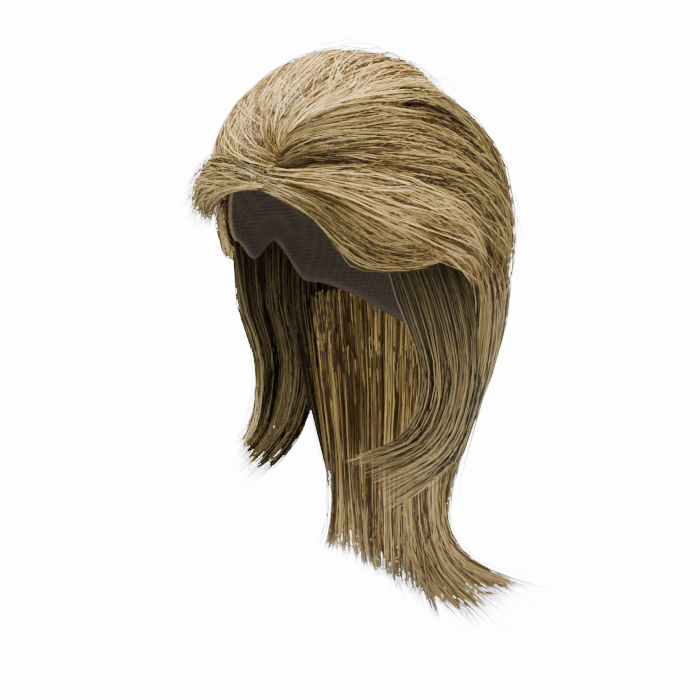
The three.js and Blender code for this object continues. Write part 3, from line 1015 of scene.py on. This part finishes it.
def strand_colour_group():
    """Shader group: a strand's colour from its own tint and the share of its length, with painted shade at the
    roots and a painted highlight on highlighted strands.
    """
    found = bpy.data.node_groups.get("Strand colour")
    if found:
        return found
    tree = bpy.data.node_groups.new("Strand colour", "ShaderNodeTree")
    for name in ("Dark", "Middle", "Light", "Streak"):
        tree.interface.new_socket(name, in_out="INPUT", socket_type="NodeSocketColor")
    for name in ("Root Shade", "Tip Glow"):
        tree.interface.new_socket(name, in_out="INPUT", socket_type="NodeSocketFloat")
    tree.interface.new_socket("Color", in_out="OUTPUT", socket_type="NodeSocketColor")
    given = tree.nodes.new("NodeGroupInput").outputs
    tint = Term(tree, node(tree, "ShaderNodeAttribute", attribute_name="tint").outputs["Fac"])
    along = Term(tree, node(tree, "ShaderNodeAttribute", attribute_name="along").outputs["Fac"])
    low = between(tree, tint, 0.0, MIDDLE_FULL, 0.0, 1.0)
    high = between(tree, tint, LIGHT_START, 1.0, 0.0, 1.0)
    colour = mixed(tree, low, given["Dark"], given["Middle"])
    colour = mixed(tree, high, colour, given["Light"])
    # Painted shade towards the roots
    root = (1 - along) ** ROOT_FADE * Term(tree, given["Root Shade"])
    colour = mixed(tree, root, colour, given["Dark"])
    tip = along ** TIP_RISE * tint * TIP_BY_TINT * Term(tree, given["Tip Glow"])
    tip = worked(tree, "MINIMUM", tip, 1.0)
    # Painted highlight where the tint goes past 1
    streak = between(tree, tint, 1.0, PAINTED_HIGHLIGHT_TINT, 0.0, 1.0)
    colour = mixed(tree, worked(tree, "MAXIMUM", tip, streak), colour, given["Streak"])
    plug(tree, tree.nodes.new("NodeGroupOutput").inputs[0], colour)
    return tree


def hair_material(finish):
    """False hair in one of the finishes: the wig's colours at a brightness that is partly their own tone and
    partly painted light and shade, roots darkened by painted shade, and pale tips.
    """
    hair = bpy.context.scene.wig_hair
    look = dict(zip(FINISH_AND_LIGHT_COLUMNS, FINISHES_AND_PAINTED_LIGHT[finish]))
    material = bpy.data.materials.new(f"{finish}_hair")
    material.use_nodes = True
    tree = material.node_tree
    shader = tree.nodes["Principled BSDF"]
    group = node(tree, "ShaderNodeGroup", node_tree=strand_colour_group())
    # Brightness: partly the hair's own tone, partly painted light and shade, each piece getting its own lit or
    # shaded copy of the colours
    for socket, colour in (("Dark", hair.dark), ("Middle", hair.middle), ("Light", hair.light)):
        group.inputs[socket].default_value = (*(channel * look["tone_and_painted_light"] for channel in colour), 1)
    group.inputs["Streak"].default_value = (*hair.streak, 1)
    group.inputs["Root Shade"].default_value = look["root_shade"]
    group.inputs["Tip Glow"].default_value = look["tip_glow"]
    plug(tree, shader.inputs["Base Color"], group.outputs[0])
    shader.inputs["Roughness"].default_value = hair.roughness
    shader.inputs["Specular IOR Level"].default_value = look["gloss"]
    return material


def head_reach(turn, height):
    """Distance from the head's axis to its surface, in millimetres."""
    angle = np.radians(turn)
    level = np.clip(1 + height / CROWN_TO_WIDEST, 0, 1)
    share = np.sqrt(1 - level ** 2)
    low = -np.asarray(height, float)
    depths = -np.asarray(LOWER_HEIGHTS, float)
    upper = height > -CROWN_TO_WIDEST
    half_width = np.where(upper, HEAD_HALF_WIDTH * share, np.interp(low, depths, LOWER_HALF_WIDTHS))
    front = np.interp(low, depths, LOWER_FRONTS)
    back = np.interp(low, depths, LOWER_BACKS)
    half_depth = np.where(upper, HEAD_HALF_DEPTH * share, np.where(np.cos(angle) < 0, back, front))
    half_width = np.maximum(half_width, LEAST_HALF)
    half_depth = np.maximum(half_depth, LEAST_HALF)
    return 1 / np.hypot(np.sin(angle) / half_width, np.cos(angle) / half_depth)


def rim_height(turn):
    """Height of the cap's rim, eased between the rows of its table."""
    turn = np.abs(turn)
    index = np.clip(np.searchsorted(RIM_TURNS, turn, side="right") - 1, 0, len(RIM_TURNS) - 2)
    turns = np.asarray(RIM_TURNS, float)
    heights = np.asarray(RIM_HEIGHTS, float)
    share = (turn - turns[index]) / (turns[index + 1] - turns[index])
    share = share * share * (3 - 2 * share)
    return heights[index] + (heights[index + 1] - heights[index]) * share


def cap_wall(off):
    """Grid of points round the cap, a distance off the head that may change from row to row."""
    turns = np.linspace(-180, 180, CAP_COLUMNS + 1)[:-1]
    turn, share = np.meshgrid(turns, np.linspace(CAP_TOP, 1, CAP_ROWS))
    height = rim_height(turn) * share ** 2
    level = np.clip(1 + height / CROWN_TO_WIDEST, 0, 1)
    reach = head_reach(turn, height) + off[:, None] * np.sqrt(1 - level ** 2)
    angle = np.radians(turn)
    return np.stack([reach * np.sin(angle), -reach * np.cos(angle), height + off[:, None] * level], axis=-1)


def cap_mesh():
    """The cap: a closed thin wall with a thicker hem and sewn rows raised on its inside."""
    share = np.linspace(CAP_TOP, 1, CAP_ROWS)
    hem = np.clip((share - 1 + HEM_SHARE) / (HEM_SHARE * HEM_RAMP), 0, 1) * HEM_THICKNESS
    weft = np.clip(np.sin(2 * np.pi * WEFT_ROWS * share), 0, 1) ** 2 * WEFT_HEIGHT * (share > WEFT_START)
    outer = cap_wall(np.full(CAP_ROWS, CAP_WALL))
    inner = cap_wall(-np.maximum(hem, weft))
    rings = np.concatenate([outer, inner[::-1]])
    points = np.concatenate([[[0, 0, CAP_WALL]], rings.reshape(-1, 3), [[0, 0, 0]]])
    count = len(rings)
    index = 1 + np.arange(count * CAP_COLUMNS).reshape(count, CAP_COLUMNS)
    turned = np.roll(index, -1, axis=1)
    quads = np.stack([index[:-1], index[1:], turned[1:], turned[:-1]], axis=-1).reshape(-1, 4)
    last = len(points) - 1
    faces = quads.tolist()
    faces += [(0, a, b) for a, b in zip(index[0].tolist(), turned[0].tolist())]
    faces += [(last, b, a) for a, b in zip(index[-1].tolist(), turned[-1].tolist())]
    mesh = bpy.data.meshes.new("wig_cap_net")
    mesh.from_pydata((points * MM).tolist(), [], faces)
    mesh.polygons.foreach_set("use_smooth", np.ones(len(mesh.polygons), bool))
    turn = np.tile(np.linspace(0, CAP_MAP_WIDTH, CAP_COLUMNS), (CAP_ROWS, 1))
    down = np.tile(share[:, None], (1, CAP_COLUMNS))
    outer_places = np.stack([turn, down], axis=-1)
    inner_places = np.stack([turn + INSIDE_MAP, down], axis=-1)[::-1]
    places = np.concatenate([outer_places, inner_places]).reshape(-1, 2)
    set_map(mesh, "net", np.concatenate([[[0, 0]], places, [[INSIDE_MAP, 0]]]))
    outside = mesh.attributes.new("outside", "FLOAT", "POINT")
    outside.data.foreach_set("value", (np.arange(len(points)) < len(points) // 2).astype(np.float32))
    return mesh


def net_material():
    """Stretch net: crossing threads on a dark ground."""
    cap = bpy.context.scene.wig_cap
    material = bpy.data.materials.new("cap_net")
    material.use_nodes = True
    tree = material.node_tree
    shader = tree.nodes["Principled BSDF"]
    place = node(tree, "ShaderNodeTexCoord").outputs["Object"]
    waves = []
    for direction in ("X", "Z"):
        inputs = {"Vector": place, "Scale": cap.closeness, "Distortion": cap.unevenness}
        wave = node(tree, "ShaderNodeTexWave", inputs, bands_direction=direction)
        waves.append(Term(tree, wave.outputs["Fac"]))
    thread = worked(tree, "MAXIMUM", *waves)
    colour = mixed(tree, thread ** 2, (*cap.net, 1), (*cap.thread, 1))
    outside = node(tree, "ShaderNodeAttribute", attribute_name="outside").outputs["Fac"]
    colour = mixed(tree, outside, colour, (*cap.outside, 1))
    plug(tree, shader.inputs["Base Color"], colour)
    shader.inputs["Roughness"].default_value = cap.roughness
    bump = node(tree, "ShaderNodeBump", {"Height": thread, "Strength": cap.relief, "Distance": cap.height})
    plug(tree, shader.inputs["Normal"], bump.outputs[0])
    return material


class WIG_OT_cap(bpy.types.Operator):
    """Makes the net cap that carries the hair"""

    bl_idname = "wig.cap"
    bl_label = "Cap"

    def execute(self, context):
        piece = shown("wig_cap_net", cap_mesh())
        piece.data.materials.append(net_material())
        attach(piece, BODY)
        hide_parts("wig_cap")
        return {"FINISHED"}


class WIG_OT_front(bpy.types.Operator):
    """Combs the lifted front and the fringe"""

    bl_idname = "wig.front"
    bl_label = "Front hair"

    def execute(self, context):
        hair_piece("quiff", hair_material("quiff"))
        hair_piece("fringe", hair_material("fringe"))
        return {"FINISHED"}


class WIG_OT_sides(bpy.types.Operator):
    """Combs the overlapping wings at both sides"""

    bl_idname = "wig.sides"
    bl_label = "Side hair"

    def execute(self, context):
        for level in ("lower", "middle", "upper"):
            material = hair_material(f"wing_{level}")
            for side in ("left", "right"):
                hair_piece(f"wing_{side}_{level}", material)
        return {"FINISHED"}


class WIG_OT_back(bpy.types.Operator):
    """Combs the crown, the long back, its tails and the locks behind the ears"""

    bl_idname = "wig.back"
    bl_label = "Back hair"

    def execute(self, context):
        hair_piece("crown_top", hair_material("crown"))
        back = hair_material("back")
        side_lock = hair_material("side_lock")
        for side in ("left", "right"):
            hair_piece(f"back_{side}", back)
            hair_piece(f"side_lock_{side}", side_lock)
        tail = hair_material("tail")
        for side in ("left", "right"):
            hair_piece(f"tail_{side}", tail)
        return {"FINISHED"}


class WIG_OT_stage(bpy.types.Operator):
    """Sets up the pale floor, the soft light and the camera"""

    bl_idname = "wig.stage"
    bl_label = "Stage"

    def execute(self, context):
        stage = context.scene.wig_stage
        turn, rise = stage.turn, stage.rise
        back = Vector((math.sin(turn) * math.cos(rise), -math.cos(turn) * math.cos(rise), math.sin(rise)))
        right = Vector((math.cos(turn), math.sin(turn), 0))
        up = back.cross(right)
        target = right * stage.aside - up * stage.below
        data = bpy.data.cameras.new("camera")
        data.lens = stage.lens
        data.sensor_width = SENSOR_WIDTH
        camera = shown("camera", data)
        camera.location = target + back * stage.distance
        camera.rotation_euler = (-back).to_track_quat("-Z", "Y").to_euler()
        context.scene.camera = camera
        for name, (spread, shares) in LIGHTS.items():
            lamp = bpy.data.lights.new(name + "_light", "SUN")
            lamp.energy = getattr(stage, name)
            lamp.angle = math.radians(spread)
            light = shown(name + "_light", lamp)
            towards = back * shares[0] + right * shares[1] + up * shares[2]
            light.rotation_euler = towards.to_track_quat("Z", "Y").to_euler()
        self.make_floor(stage)
        self.make_sky(context, stage)
        return {"FINISHED"}

    def make_floor(self, stage):
        """A wide floor that looks pale to the camera and lights the wig as plain grey does."""
        half = FLOOR_HALF
        mesh = bpy.data.meshes.new("floor")
        corners = [(-half, -half), (half, -half), (half, half), (-half, half)]
        mesh.from_pydata([(x, y, stage.floor) for x, y in corners], [], [(0, 1, 2, 3)])
        floor = shown("floor", mesh)
        material = bpy.data.materials.new("floor")
        material.use_nodes = True
        tree = material.node_tree
        shader = tree.nodes["Principled BSDF"]
        shader.inputs["Base Color"].default_value = FLOOR_COLOUR
        shader.inputs["Roughness"].default_value = FLOOR_ROUGHNESS
        seen = node(tree, "ShaderNodeLightPath").outputs["Is Camera Ray"]
        pale = node(tree, "ShaderNodeEmission", {"Strength": stage.backdrop}).outputs[0]
        surface = node(tree, "ShaderNodeMixShader", {0: seen, 1: shader.outputs[0], 2: pale}).outputs[0]
        plug(tree, tree.nodes["Material Output"].inputs["Surface"], surface)
        mesh.materials.append(material)

    def make_sky(self, context, stage):
        """Even light from all round, as bright to the camera as the floor."""
        world = bpy.data.worlds.new("studio")
        world.use_nodes = True
        tree = world.node_tree
        background = tree.nodes["Background"]
        background.inputs["Color"].default_value = (1, 1, 1, 1)
        seen = Term(tree, node(tree, "ShaderNodeLightPath").outputs["Is Camera Ray"])
        plug(tree, background.inputs["Strength"], stage.sky + seen * (stage.backdrop - stage.sky))
        context.scene.world = world


class VIEW3D_PT_wig(bpy.types.Panel):
    """Shows buttons that make the wig's pieces, and their settings"""

    bl_label = "Layered wig"
    bl_space_type = "VIEW_3D"
    bl_region_type = "UI"
    bl_category = "Wig"

    def draw(self, context):
        for operator in OPERATORS:
            self.layout.operator(operator.bl_idname)
        for settings in (context.scene.wig_hair, context.scene.wig_cap, context.scene.wig_stage):
            box = self.layout.box()
            for name in settings.__annotations__:
                box.prop(settings, name)


SETTINGS = {"wig_hair": WigHair, "wig_cap": WigCap, "wig_stage": WigStage}
OPERATORS = (WIG_OT_stage, WIG_OT_cap, WIG_OT_back, WIG_OT_sides, WIG_OT_front)


def register():
    for name, settings in SETTINGS.items():
        bpy.utils.register_class(settings)
        setattr(bpy.types.Scene, name, PointerProperty(type=settings))
    for operator in OPERATORS:
        bpy.utils.register_class(operator)
    bpy.utils.register_class(VIEW3D_PT_wig)


def unregister():
    bpy.utils.unregister_class(VIEW3D_PT_wig)
    for operator in reversed(OPERATORS):
        bpy.utils.unregister_class(operator)
    for name, settings in SETTINGS.items():
        delattr(bpy.types.Scene, name)
        bpy.utils.unregister_class(settings)


def main():
    register()
    bpy.ops.wig.stage()
    bpy.ops.wig.cap()
    bpy.ops.wig.back()
    bpy.ops.wig.sides()
    bpy.ops.wig.front()


if __name__ == "__main__":
    main()
